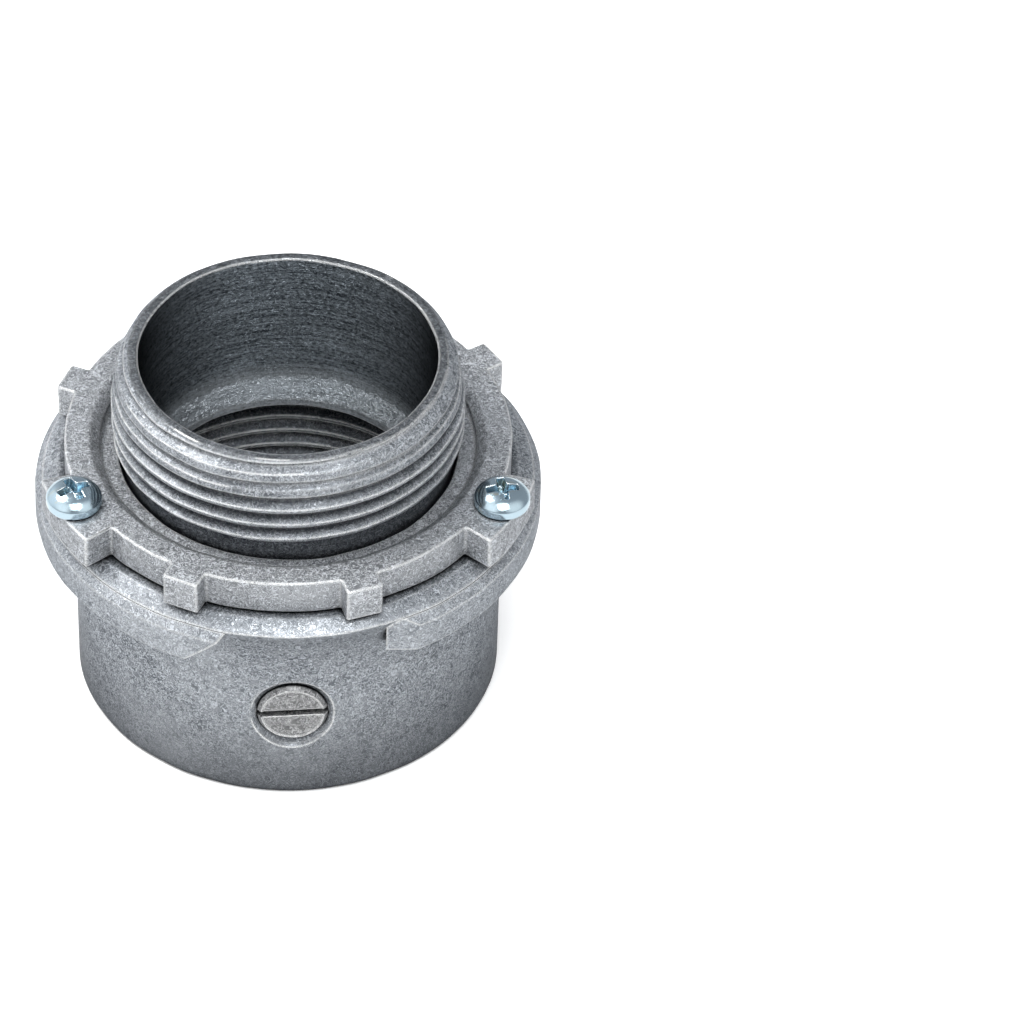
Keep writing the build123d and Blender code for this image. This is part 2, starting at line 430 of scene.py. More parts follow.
class NodeBench:
    """Adds nodes to one material or world and links them."""

    def __init__(self, name: str, surround: bool = False) -> None:
        """Makes a node material, or a world, with the given name."""
        self.owner = bpy.data.worlds.new(name) if surround else bpy.data.materials.new(name)
        self.owner.use_nodes = True
        self.tree = self.owner.node_tree
        self.shader = self.tree.nodes["Background" if surround else "Principled BSDF"]
        coordinates = self.add("ShaderNodeTexCoord")
        self.object_place = coordinates.outputs["Generated" if surround else "Object"]

    def add(self, kind: str, inputs: Inputs | None = None, **settings: object) -> bpy.types.Node:
        """Adds a node, sets its properties and feeds its inputs."""
        node = self.tree.nodes.new(kind)
        for key, value in settings.items():
            setattr(node, key, value)
        return self.feed(node, inputs or {})

    def feed(self, node: bpy.types.Node, inputs: Inputs) -> bpy.types.Node:
        """Links or sets a node's inputs, which are known by name or by place."""
        for key, value in inputs.items():
            socket = node.inputs[key]
            if isinstance(value, bpy.types.NodeSocket):
                self.tree.links.new(value, socket)
            elif socket.type == "RGBA":
                socket.default_value = (*value, 1.0)
            else:
                socket.default_value = value
        return node

    def finished(self, inputs: Inputs) -> bpy.types.ID:
        """Feeds the shader and gives the finished material or world."""
        self.feed(self.shader, inputs)
        return self.owner

    def noise(self, scale: float, detail: float, roughness: float = 0.5, distortion: float = 0.0,
              place: Socket | None = None) -> Socket:
        """Noise over the object, with the scale in cells per metre."""
        inputs = {"Vector": place or self.object_place, "Scale": scale, "Detail": detail,
                  "Roughness": roughness, "Distortion": distortion}
        return self.add("ShaderNodeTexNoise", inputs).outputs["Fac"]

    def stretched(self, x: float, y: float, z: float) -> Socket:
        """The object's coordinates scaled along each axis."""
        inputs = {"Vector": self.object_place, "Scale": (x, y, z)}
        return self.add("ShaderNodeMapping", inputs).outputs["Vector"]

    def span(self, value: Socket, low: float, high: float,
             out_low: float = 0.0, out_high: float = 1.0) -> Socket:
        """Maps a range of a value to another range, held at both ends."""
        inputs = {"Value": value, "From Min": low, "From Max": high,
                  "To Min": out_low, "To Max": out_high}
        return self.add("ShaderNodeMapRange", inputs, clamp=True).outputs["Result"]

    def maths(self, operation: str, first: object, second: object = 0.0) -> Socket:
        """Does arithmetic on two values, or on the first alone."""
        node = self.add("ShaderNodeMath", {0: first, 1: second}, operation=operation)
        return node.outputs["Value"]

    def plus(self, first: object, second: object) -> Socket:
        """Sum of two values."""
        return self.maths("ADD", first, second)

    def times(self, first: object, *others: object) -> Socket:
        """Product of two or more values."""
        for other in others:
            first = self.maths("MULTIPLY", first, other)
        return first

    def weighted(self, *terms: tuple[Socket, float]) -> Socket:
        """Sum of values, each times its own weight."""
        total = self.times(*terms[0])
        for term in terms[1:]:
            total = self.plus(total, self.times(*term))
        return total

    def blend(self, share: object, first: object, second: object, mode: str = "MIX") -> Socket:
        """Mixes two colours."""
        inputs = dict(zip(MIX_INPUTS, (share, first, second)))
        node = self.add("ShaderNodeMix", inputs, data_type="RGBA", blend_type=mode)
        return node.outputs[MIX_RESULT]

    def vectors(self, operation: str, result: str, *values: object) -> Socket:
        """Does vector arithmetic and gives the named result."""
        inputs = dict(enumerate(values))
        return self.add("ShaderNodeVectorMath", inputs, operation=operation).outputs[result]

    def places(self) -> tuple[Socket, Socket, Socket]:
        """Distance from the hub's axis, height, and place from front to back, in metres."""
        split = self.add("ShaderNodeSeparateXYZ", {"Vector": self.object_place})
        level = self.vectors("MULTIPLY", "Vector", self.object_place, (1.0, 1.0, 0.0))
        return self.vectors("LENGTH", "Value", level), split.outputs["Z"], split.outputs["Y"]

    def toward(self, direction: Vector, core: float, reach: float) -> Socket:
        """Share of a patch in one direction, from one at its core to zero at its reach."""
        dot = self.vectors("DOT_PRODUCT", "Value", self.object_place, direction.normalized())
        return self.span(dot, math.cos(math.radians(reach)), math.cos(math.radians(core)))

    def seen(self) -> tuple[Socket, Socket]:
        """One for rays from the camera, and one for rays off metal or through glass."""
        rays = self.add("ShaderNodeLightPath").outputs
        mirrored = self.maths("MAXIMUM", rays["Is Glossy Ray"], rays["Is Transmission Ray"])
        return rays["Is Camera Ray"], mirrored

    def edges(self, radius: float) -> tuple[Socket, Socket]:
        """Share of wear and painted highlight on the edges, and the rounded normal that it is read
        from.
        """
        bevel = self.add("ShaderNodeBevel", {"Radius": radius}, samples=BEVEL_SAMPLES)
        rounding = bevel.outputs["Normal"]
        surface = self.add("ShaderNodeNewGeometry").outputs["Normal"]
        dot = self.vectors("DOT_PRODUCT", "Value", rounding, surface)
        return self.span(dot, *WEAR_AND_SHEEN_COSINES), rounding

    def crevices(self, distance: float) -> Socket:
        """Share of open air round a point, low in gaps and corners."""
        inputs = {"Distance": distance}
        return self.add("ShaderNodeAmbientOcclusion", inputs, samples=CREVICE_SAMPLES).outputs["AO"]

    def bumped(self, strength: float, distance: float, height: Socket,
               normal: Socket | None = None) -> Socket:
        """Normal that a height roughens, over the given distance in millimetres."""
        inputs = {"Strength": strength, "Distance": distance * MM, "Height": height}
        if normal:
            inputs["Normal"] = normal
        return self.add("ShaderNodeBump", inputs).outputs["Normal"]


@dataclass(frozen=True)
class CastZinc:
    """Die-cast zinc: grey and mottled, with worm-like grain, edge wear with a painted edge
    highlight, painted shade in corners and toward the bottom, and a painted highlight on the
    flange's rim.

    Lengths are in metres. A bore of zero leaves the machined parts out.
    """

    name: str
    dark: Colour
    light: Colour
    # Colour of the edges: partly wear, partly a painted highlight.
    edge: Colour = (0.95, 0.95, 0.94)
    roughness: float = 0.37
    grain: float = 1600.0
    bump: float = 0.45
    bore: float = 0.0
    bottom_shade_level: float = 0.0
    flange_highlight: float = 0.0
    metal: float = 0.80
    crevice_shade_reach: float = 2.2 * MM
    crevice_shade_from: float = 0.84
    wear_and_sheen_width: float = 0.42 * MM

    def turning(self, bench: NodeBench, base: Socket) -> Socket:
        """Draws the machined bore, with painted shade toward its sides and a painted highlight on
        its throat lip; painted shade in the thread's grooves; and the ground rim.
        """
        radius, height, depth = bench.places()
        inside = bench.span(radius, self.bore + 0.40 * MM, self.bore + 0.15 * MM)
        streaks = bench.noise(1.0, 4, 0.7, 0.0, bench.stretched(70, 70, 3300))
        specks = bench.noise(1.0, 3, 0.75, 0.5, bench.stretched(2100, 2100, 4200))
        grain = bench.weighted((streaks, 0.38), (specks, 0.62))
        marks = bench.blend(bench.span(grain, 0.40, 0.66), *MachinedAndShaded.BORE.value)
        # Painted shade: the bore's walls darken toward its sides and lighten toward its front and
        # back.
        shade = bench.span(bench.maths("ABSOLUTE", depth), 2.0 * MM, 17.5 * MM, 0.10, 1.05)
        shade = bench.times(shade, shade)
        marks = bench.blend(1.0, marks, bench.blend(shade, BLACK, WHITE), "MULTIPLY")
        # Painted highlight: a light band on the throat's lip, dimmed on the sides by the painted
        # bore shade.
        lip = bench.times(bench.span(height, *THROAT_LIP), bench.span(grain, 0.36, 0.58, 0.35, 0.9),
                          bench.span(shade, 0.0, 0.9, 0.25, 1.0))
        marks = bench.blend(lip, marks, MachinedAndShaded.LIP_HIGHLIGHT.value)
        # Painted shade: the male thread's grooves darken below its taper.
        wall = bench.times(bench.span(radius, *GROOVE_DEPTH), bench.span(radius, *OUTER_WALL))
        grooves = bench.times(wall, bench.span(height, *BELOW_TAPER),
                              bench.span(specks, 0.35, 0.65, 0.80, 0.40))
        base = bench.blend(grooves, base, MachinedAndShaded.GROOVE_SHADE.value)
        base = bench.blend(inside, base, marks)
        ground = bench.times(bench.span(height, *RIM_FACE),
                             bench.span(specks, 0.35, 0.65, 0.9, 0.4))
        return bench.blend(ground, base, MachinedAndShaded.RIM.value)

    def material(self) -> bpy.types.Material:
        """Builds the finish's node material."""
        bench = NodeBench(self.name)
        cloud = bench.noise(75, 5, 0.62, 0.6)
        patches = bench.noise(430, 3, 0.6, 0.9)
        field = bench.noise(self.grain, 2, 0.5, 1.6)
        aside = bench.maths("ABSOLUTE", bench.maths("SUBTRACT", field, 0.5))
        worms = bench.span(aside, 0.055, 0.015)
        specks = bench.noise(self.grain * 2.1, 2, 0.7, 0.8)
        tone = bench.weighted((cloud, 0.30), (patches, 0.20), (specks, 0.28), (field, 0.22))
        base = bench.blend(bench.span(tone, 0.41, 0.60), self.dark, self.light)
        bright = tuple(min(1.0, channel * BRIGHTENING) for channel in self.light)
        base = bench.blend(bench.times(worms, 0.80), base, bright)
        pits = bench.noise(self.grain * 0.9, 3, 0.7, 2.2)
        base = bench.blend(bench.span(pits, 0.34, 0.26, 0, 0.5), base, PitsAndShade.PIT.value)
        radius, height, _ = bench.places()
        # Painted highlight: the flange's outer rim is lightened toward the bright grain colour.
        flange_highlight_share = bench.times(bench.span(radius, *RAISED_FLANGE), self.flange_highlight)
        base = bench.blend(flange_highlight_share, base, bright)
        # Painted shade: the barrel darkens toward its base, in speckled dark tones.
        low = bench.span(height, *LOW_BARREL, 0.0, self.bottom_shade_level)
        base = bench.blend(low, base, bench.blend(specks, *PitsAndShade.BOTTOM_SHADE.value))
        # Painted shade: corners and crevices darken where little open air reaches them.
        gaps = bench.crevices(self.crevice_shade_reach)
        base = bench.blend(bench.span(gaps, self.crevice_shade_from, 0.18, 0, 0.90), base, PitsAndShade.CREVICE_SHADE.value)
        # Painted shadow: a near-black line in tight gaps, such as where the nut meets the flange.
        tight = bench.crevices(CONTACT_REACH)
        base = bench.blend(bench.span(tight, 0.66, 0.36, 0, 0.97), base, PitsAndShade.CONTACT_SHADOW.value)
        if self.bore:
            base = self.turning(bench, base)
        # Edges: partly wear, partly a painted highlight, kept off tight gaps.
        ragged = bench.span(bench.noise(self.grain * 1.6, 3, 0.75, 0.6), 0.34, 0.44)
        wear_and_sheen, rounding = bench.edges(self.wear_and_sheen_width)
        rub_and_sheen = bench.times(wear_and_sheen, ragged, bench.span(tight, 0.62, 0.82))
        base = bench.blend(rub_and_sheen, base, self.edge)
        rough = bench.span(tone, 0.40, 0.60, self.roughness + 0.10, self.roughness - 0.08)
        coarse = bench.bumped(self.bump, 0.20, bench.plus(worms, patches), rounding)
        fine = bench.bumped(self.bump, 0.10, specks, coarse)
        return bench.finished({
            "Base Color": base, "Metallic": self.metal, "Roughness": rough,
            "Specular Tint": (0.35, 0.36, 0.38), "Normal": fine,
        })


@dataclass(frozen=True)
class PlatedSteel:
    """Bright zinc plating on steel: cool, glossy and uneven, with a straw tint in places."""

    name: str
    cool: Colour = (0.46, 0.58, 0.65)
    straw: Colour = (0.70, 0.60, 0.36)
    shaded: Colour = (0.02, 0.06, 0.08)
    # Colour of the edges: partly wear, partly a painted highlight.
    edge: Colour = (0.90, 0.95, 0.97)

    def material(self) -> bpy.types.Material:
        """Builds the finish's node material."""
        bench = NodeBench(self.name)
        film = bench.noise(260, 3, 0.6, 0.6)
        pits = bench.noise(2600, 2, 0.5)
        base = bench.blend(bench.span(film, 0.62, 0.78, 0, 0.8), self.cool, self.straw)
        gaps = bench.crevices(1.2 * MM)
        base = bench.blend(bench.span(gaps, 0.60, 0.15, 0, 0.9), base, self.shaded)
        # Edges: partly wear, partly a painted highlight.
        wear_and_sheen, rounding = bench.edges(0.16 * MM)
        base = bench.blend(wear_and_sheen, base, self.edge)
        return bench.finished({
            "Base Color": base, "Metallic": 1.0,
            "Roughness": bench.span(pits, 0.3, 0.7, 0.12, 0.24),
            "Normal": bench.bumped(0.06, 0.05, pits, rounding),
        })


@dataclass(frozen=True)
class BlackRubber:
    """Moulded black rubber with a dull skin."""

    name: str
    dark: Colour = (0.012, 0.012, 0.013)
    light: Colour = (0.03, 0.03, 0.03)

    def material(self) -> bpy.types.Material:
        """Builds the finish's node material."""
        bench = NodeBench(self.name)
        skin = bench.noise(1500, 3, 0.6)
        base = bench.blend(bench.span(skin, 0.3, 0.7), self.dark, self.light)
        return bench.finished({
            "Base Color": base,
            "Roughness": bench.span(skin, 0.3, 0.7, 0.5, 0.7),
            "Normal": bench.bumped(0.1, 0.05, skin),
        })


def dress(piece: Piece, material: bpy.types.Material, body: str, node: str) -> None:
    """Gives a piece its finish and slot, and puts it in its node's place on its body.

    Args:
        piece: the piece, in place.
        material: its finish.
        body: the body it rides.
        node: the solid it stands for.
    """
    piece.data.materials.clear()
    piece.data.materials.append(material)
    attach(piece, body)
    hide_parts(node)
    LOG.info("%s: %d faces on body %s", piece.name, len(piece.data.polygons), body)


@dataclass
class HubBody:
    """The casting: barrel, flared neck, notched flange and threaded nipple."""

    base: float = -30.2
    barrel: float = 25.8
    barrel_edge: float = 0.8
    flare_foot: float = -13.8
    shoulder: Point = (29.5, -1.2)
    face: float = 27.6
    flange: float = 30.4
    rim_bottom: float = -6.2
    step: float = 0.15
    bevel_drop: float = 1.0
    gap_left: float = -12.1
    gap_right: float = 11.5
    gap_flat: float = 26.2
    seal_inner: float = 21.4
    seal_outer: float = 24.6
    seal_depth: float = 2.2
    relief: float = 19.9
    relief_top: float = 5.6
    crest: float = 21.0
    crest_flat: float = 0.5
    thread_foot: float = 6.0
    nipple_top: float = 16.8
    rim: float = 18.8
    bore: float = 17.7
    throat: float = 16.4
    throat_foot: float = -5.2
    undercut: float = 21.3
    undercut_foot: float = -6.4
    socket_crest: float = 19.7
    socket_mouth: float = 21.7
    mouth_top: float = -28.6
    plug_height: float = -17.3
    plug_azimuth: float = 1.2
    plug_hole: float = 4.25
    dish: float = 5.15
    dish_depth: float = 0.75
    count: int = 320

    def nipple_thread(self) -> Thread:
        """The male thread, from the relief to the rim."""
        taper = ((self.crest, 11.0), (20.05, 15.5), (19.4, 16.35), (self.rim, self.nipple_top))
        foot = ((self.relief, self.relief_top), (self.crest, self.thread_foot))
        return Thread(
            low=self.relief_top,
            high=self.nipple_top,
            envelope=(*foot, *taper),
            roots=((19.75, 14.4), (18.95, 16.0)),
            male=True,
            groove_height=self.thread_foot + (self.crest_flat + PITCH) / 2,
        )

    def socket_thread(self) -> Thread:
        """The female thread, from the mouth to the undercut."""
        mouth = ((self.socket_mouth, self.base), (self.socket_crest, self.mouth_top))
        return Thread(
            low=self.base,
            high=self.undercut_foot,
            envelope=(*mouth, (self.socket_crest, self.undercut_foot)),
            roots=((20.9, 0.0),),
            male=False,
            groove_height=self.undercut_foot - (self.crest_flat + PITCH) / 2,
            samples=10,
        )

    def neck(self) -> list[Knot]:
        """Corners of the flare, from the shoulder down to the barrel."""
        rise = self.shoulder[1] - self.flare_foot
        run = self.shoulder[0] - self.barrel
        radius = (rise * rise + run * run) / (2 * run)
        steps = 14
        sweep = math.asin(rise / radius)
        bend = [sweep * (steps - step) / steps for step in range(1, steps + 1)]
        return [
            Knot(self.barrel + radius * (1 - math.cos(angle)),
                 self.flare_foot + radius * math.sin(angle))
            for angle in bend
        ]

    def outside(self) -> np.ndarray:
        """Outline from the nipple's relief over the face and the neck to the socket's mouth."""
        knots = [
            Knot(self.relief, self.relief_top),
            Knot(self.relief, 0.0, 0.25),
            Knot(self.seal_inner, 0.0),
            Knot(self.seal_inner, -self.seal_depth),
            Knot(self.seal_outer, -self.seal_depth),
            Knot(self.seal_outer, 0.0),
            Knot(self.face, 0.0, 0.35),
            Knot(*self.shoulder, 0.12),
            *self.neck(),
            Knot(self.barrel, -20.0),
            Knot(self.barrel, self.base, self.barrel_edge),
            Knot(self.socket_mouth, self.base),
        ]
        return rounded(knots)

    def inside(self) -> np.ndarray:
        """Outline from the nipple's rim down the bore to the undercut."""
        knots = [
            Knot(self.rim, self.nipple_top),
            Knot(self.bore, self.nipple_top, 0.12),
            Knot(self.bore, -1.6, 0.8),
            Knot(self.throat, -4.2, 0.12),
            Knot(self.throat, self.throat_foot, 0.15),
            Knot(self.undercut, self.throat_foot),
            Knot(self.undercut, self.undercut_foot),
            Knot(self.socket_crest, self.undercut_foot),
        ]
        return rounded(knots)

    def rim_band(self) -> np.ndarray:
        """Closed outline of the flange rim, sunk into the neck at its back."""
        top = self.shoulder[1] - self.step
        knots = [
            Knot(self.barrel - 1.0, self.rim_bottom + 0.4),
            Knot(self.barrel + 0.8, self.rim_bottom),
            Knot(self.flange, self.rim_bottom, 0.25),
            Knot(self.flange, top - self.bevel_drop, 0.15),
            Knot(self.shoulder[0], top, 0.10),
            Knot(self.barrel - 1.0, top - 1.2),
        ]
        return rounded(knots, closed=True)

    def gap_cutters(self) -> list[Shell]:
        """Bodies that cut the gap: a slanted left end, and a flat on the right."""
        beyond, front = 3.0, 40.0
        low, high = self.rim_bottom - beyond, self.shoulder[1] + beyond
        foot = self.gap_left - beyond
        head = foot + (high - low)
        slant = [(foot, low), (self.gap_right, low), (self.gap_right, high), (head, high)]
        inner = self.gap_right - 1
        flat = [(inner, low), (self.flange, low), (self.flange, high), (inner, high)]
        return [
            lofted([np.array([(x, y, z) for x, z in outline]) for y in (-front, back)])
            for outline, back in ((slant, 0.0), (flat, -self.gap_flat))
        ]

    def plug_seat(self) -> Shell:
        """Body that cuts the plug's hole and the dish round it."""
        knots = [
            Knot(0.0, 10.0),
            Knot(self.plug_hole, 10.0),
            Knot(self.plug_hole, self.barrel - self.dish_depth - 0.15, 0.10),
            Knot(self.dish - 0.15, self.barrel - 0.45, 0.20),
            Knot(self.dish + 0.25, self.barrel + 0.15),
            Knot(self.dish + 1.2, self.barrel + 5.0),
            Knot(0.0, self.barrel + 5.0),
        ]
        body = turned(rounded(knots), columns(96))
        return Shell(turned_out(body.vertices, self.plug_azimuth, self.plug_height), body.faces)

    def build(self, finish: CastZinc) -> None:
        """Builds and dresses the casting."""
        angles = columns(self.count)
        shells = [
            self.nipple_thread().shell(angles),
            turned(self.inside(), angles),
            self.socket_thread().shell(angles),
            turned(self.outside(), angles),
        ]
        core = mesh_object("hub_casting", shells)
        cut(core, [self.plug_seat()])
        rim = mesh_object("flange_rim", [turned(self.rim_band(), columns(400), closed_path=True)])
        cut(rim, self.gap_cutters())
        body = joined("hub_casting", [core, rim])
        wobble(body, 0.10, 5.0, 3.1)
        smooth(body, Shading.CAST)
        dress(body, finish.material(), "hub", "hub_body")


def joined(name: str, pieces: Sequence[Piece]) -> Piece:
    """Makes one object of several meshes and removes the originals."""
    bench = bmesh.new()
    for piece in pieces:
        bench.from_mesh(piece.data)
    mesh = bpy.data.meshes.new(name)
    bench.to_mesh(mesh)
    bench.free()
    for piece in pieces:
        discard(piece)
    return linked(name, mesh)


@dataclass
class Locknut:
    """The cast nut: a ring with plain lugs and two ears for the bonding screws."""

    radius: float = 26.7
    thickness: float = 4.6
    crest: float = 20.25
    root: float = 21.45
    countersink: float = 23.7
    counterbore: float = 22.5
    countersink_depth: float = 1.0
    counterbore_depth: float = 1.9
    lug: float = 28.9
    lug_width: float = 4.4
    lugs: tuple[float, ...] = (-111.0, -25.7, 18.0, 120.5, 180.0)
    ear: float = 30.4
    ears: tuple[float, ...] = (-62.5, 62.5)
    ear_span: float = 23.0
    corner: float = 0.28
    edge: float = 0.12
    foot: float = 0.35
    screw_circle: float = 28.09
    screw_azimuth: float = 63.5
    screw_hole: float = 1.8

    def outline(self) -> np.ndarray:
        """The nut's outer outline, lugs and ears included, in order round the axis."""
        lugs = [(azimuth, False) for azimuth in self.lugs]
        features = sorted(lugs + [(azimuth, True) for azimuth in self.ears])
        knots: list[Knot] = []
        wide = self.lug_width / 2
        root = math.sqrt(self.radius**2 - wide**2)
        corners = [(-wide, root), (-wide, self.lug), (wide, self.lug), (wide, root)]
        halves = {False: math.degrees(math.asin(wide / self.radius)), True: self.ear_span / 2}
        step = 1.5
        for index, (azimuth, is_ear) in enumerate(features):
            half = halves[is_ear]
            if is_ear:
                knots.append(Knot(*polar(self.radius, azimuth - half), self.corner))
                for share in np.linspace(-half, half, 9):
                    round_off = self.corner if abs(share) == half else 0.0
                    knots.append(Knot(*polar(self.ear, azimuth + share), round_off))
                knots.append(Knot(*polar(self.radius, azimuth + half), self.corner))
            else:
                for aside, out in corners:
                    reach, turn = math.hypot(aside, out), math.degrees(math.atan2(aside, out))
                    knots.append(Knot(*polar(reach, azimuth + turn), self.corner))
            following, next_is_ear = features[(index + 1) % len(features)]
            if index == len(features) - 1:
                following += 360
            start, end = azimuth + half, following - halves[next_is_ear]
            pieces = max(2, round((end - start) / step))
            for share in np.linspace(start, end, pieces + 1)[1:-1]:
                knots.append(Knot(*polar(self.radius, share)))
        return rounded(knots, closed=True, steps=5)

    def inner_wall(self) -> list[Point]:
        """Radius and height of the inner wall, from the bottom to the countersink's rim."""
        top = self.thickness
        floor = top - self.counterbore_depth
        middle = floor / 2
        half_root = 0.35 / 2
        half_mouth = half_root + (self.root - self.crest) * FLANK
        return [
            (self.crest + 0.3, 0.0),
            (self.crest, 0.3),
            (self.crest, middle - half_mouth),
            (self.root, middle - half_root),
            (self.root, middle + half_root),
            (self.crest, middle + half_mouth),
            (self.crest, floor - 0.15),
            (self.crest + 0.15, floor),
            (self.counterbore - 0.2, floor),
            (self.counterbore, floor + 0.2),
            (self.counterbore, top - self.countersink_depth),
            (self.countersink - 0.15, top - 0.12),
            (self.countersink + 0.1, top),
            (self.countersink + 0.3, top),
        ]

    def ring(self) -> Shell:
        """The nut without its screw holes."""
        outline = self.outline()
        ahead = np.roll(outline, -1, axis=0) - outline
        back = outline - np.roll(outline, 1, axis=0)
        tangent = unit(unit(ahead) + unit(back))
        inward = np.column_stack([-tangent[:, 1], tangent[:, 0]])
        circle = around(np.arctan2(outline[:, 1], outline[:, 0]))
        top, edge = self.thickness, self.edge
        rings = [raised(circle * radius, height) for radius, height in self.inner_wall()]
        rings.append(raised((outline + rings[-1][:, :2]) / 2, top))
        for share, drop in ((1.0, 0.0), (0.45, 0.1), (0.1, 0.45), (0.0, 1.0)):
            rings.append(raised(outline + inward * edge * share, top - drop * edge))
        rings.append(raised(outline, self.foot))
        rings.append(raised(outline + inward * self.foot, 0.0))
        return woven(np.stack(rings, axis=1), closed_rows=True)

    def screw_holes(self) -> list[Shell]:
        """Bodies that cut the two screw holes."""
        circle = self.screw_hole * around(columns(40))
        return [
            prism(circle + polar(self.screw_circle, azimuth), -1.0, self.thickness + 1)
            for azimuth in (-self.screw_azimuth, self.screw_azimuth)
        ]

    def build(self, finish: CastZinc) -> None:
        """Builds and dresses the nut."""
        piece = mesh_object("locknut_casting", [self.ring()])
        cut(piece, self.screw_holes())
        wobble(piece, 0.12, 4.0, 8.3)
        smooth(piece, Shading.CAST)
        dress(piece, finish.material(), "nut", "locknut")


@dataclass
class BondingScrew:
    """Pan-head screw with a cross recess, standing on the locknut.

    The recess widens by its flare above the crown and narrows by its draft at its depth.
    """

    name: str
    node: str
    body: str
    azimuth: float
    turn: float
    circle: float = 28.09
    seat: float = 4.6
    head: float = 3.3
    height: float = 2.45
    side: float = 0.8
    shank: float = 1.75
    length: float = 4.35
    recess: float = 2.0
    arm: float = 0.56
    depth: float = 1.4
    above: float = 0.4
    flare: float = 0.16
    draft: float = 0.36
    rounds: tuple[float, ...] = (0.14, 0.30, 0.14)

    def recess_cutter(self) -> Shell:
        """Tapered cross that cuts the recess."""
        loops = []
        for drop, shrink in ((-self.above, -self.flare), (self.depth, self.draft)):
            arm, reach = self.arm - shrink, self.recess - shrink
            quarter = [(reach, arm), (arm, arm), (arm, reach)]
            knots: list[Knot] = []
            for _ in range(4):
                knots += [Knot(x, y, radius) for (x, y), radius in zip(quarter, self.rounds)]
                quarter = [(-y, x) for x, y in quarter]
            loops.append(raised(rounded(knots, closed=True), self.height - drop))
        return lofted(loops)

    def build(self, material: bpy.types.Material) -> None:
        """Builds the screw, turns it to its own angle and dresses it."""
        crown = [
            Knot(0.0, self.height),
            Knot(1.1, self.height - 0.06),
            Knot(2.1, self.height - 0.25),
            Knot(2.85, self.height - 0.72),
            Knot(self.head, self.side + 0.35, 0.6),
            Knot(self.head, 0.25, 0.15),
            Knot(self.head - 0.15, 0.0),
            Knot(self.shank, 0.0),
            Knot(self.shank, 0.3 - self.length),
            Knot(self.shank - 0.3, -self.length),
            Knot(0.0, -self.length),
        ]
        profile = rounded(crown, steps=7)
        piece = mesh_object(self.name, [turned(profile, columns(72))])
        cut(piece, [self.recess_cutter()])
        x, y = polar(self.circle, self.azimuth)
        place = Matrix.Translation((x * MM, y * MM, self.seat * MM))
        piece.data.transform(place @ Matrix.Rotation(math.radians(self.turn), 4, "Z"))
        smooth(piece, Shading.TURNED)
        dress(piece, material, self.body, self.node)


@dataclass
class SlottedPlug:
    """Turned plug in the barrel wall, with a driver slot."""

    radius: float = 4.2
    face: float = 25.7
    height: float = -17.3
    azimuth: float = 1.2
    length: float = 4.3
    bevel: float = 0.5
    bevel_depth: float = 0.55
    sunk: float = 0.12
    slot_width: float = 0.95
    slot_depth: float = 1.1
    tilt: float = 3.0
    rise: float = 0.2

    def slot_cutter(self) -> Shell:
        """Box that cuts the slot, in the plug's own frame."""
        long, half = self.radius * 1.2, self.slot_width / 2
        turn = math.radians(self.tilt)
        cosine, sine = math.cos(turn), math.sin(turn)
        corners = [(-long, -half), (long, -half), (long, half), (-long, half)]
        spun = [(x * cosine - y * sine, x * sine + y * cosine + self.rise) for x, y in corners]
        return prism(spun, -self.slot_depth, 1.0)

    def build(self, finish: CastZinc) -> None:
        """Builds and dresses the plug."""
        lip = self.radius - self.bevel
        knots = [
            Knot(0.0, -self.sunk),
            Knot(lip - 0.14, -self.sunk),
            Knot(lip - 0.04, 0.0),
            Knot(lip + 0.06, 0.0),
            Knot(self.radius, -self.bevel_depth, 0.08),
            Knot(self.radius, self.bevel - self.length),
            Knot(lip, -self.length),
            Knot(0.0, -self.length),
        ]
        profile = rounded(knots)
        piece = mesh_object("slotted_plug_metal", [turned(profile, columns(128))])
        cut(piece, [self.slot_cutter()])
        wobble(piece, 0.04, 1.6, 5.5)
        x, y = polar(self.face, self.azimuth)
        place = Matrix.Translation((x * MM, y * MM, self.height * MM))
        swing = Matrix.Rotation(math.radians(self.azimuth), 4, "Z")
        piece.data.transform(place @ (swing @ Matrix.Rotation(math.radians(90), 4, "X")))
        smooth(piece, Shading.TURNED)
        dress(piece, finish.material(), "plug", "slotted_plug")


@dataclass(frozen=True)
class Glow:
    """Soft patch of the surround in one direction, seen in the metal."""

    toward: tuple[float, float, float]
    core: float
    reach: float
    level: float
    tint: Colour = (1.0, 1.0, 1.0)


def stood(name: str, data: bpy.types.ID, place: Vector, facing: Vector) -> Piece:
    """Stands a camera or a lamp in the scene, facing along a direction."""
    thing = linked(name, data)
    thing.location = place
    thing.rotation_mode = "QUATERNION"
    thing.rotation_quaternion = facing.to_track_quat("-Z", "Y")
    return thing


@dataclass(frozen=True)
class Lamp:
    """Square soft lamp that points at the object, in metres and watts."""

    name: str
    place: tuple[float, float, float]
    size: float
    power: float
    tint: Colour

    def build(self) -> None:
        """Adds the lamp to the scene."""
        data = bpy.data.lights.new(self.name, "AREA")
        data.shape = "SQUARE"
        data.size = self.size
        data.energy = self.power
        data.color = self.tint
        place = Vector(self.place)
        stood(self.name, data, place, -place)


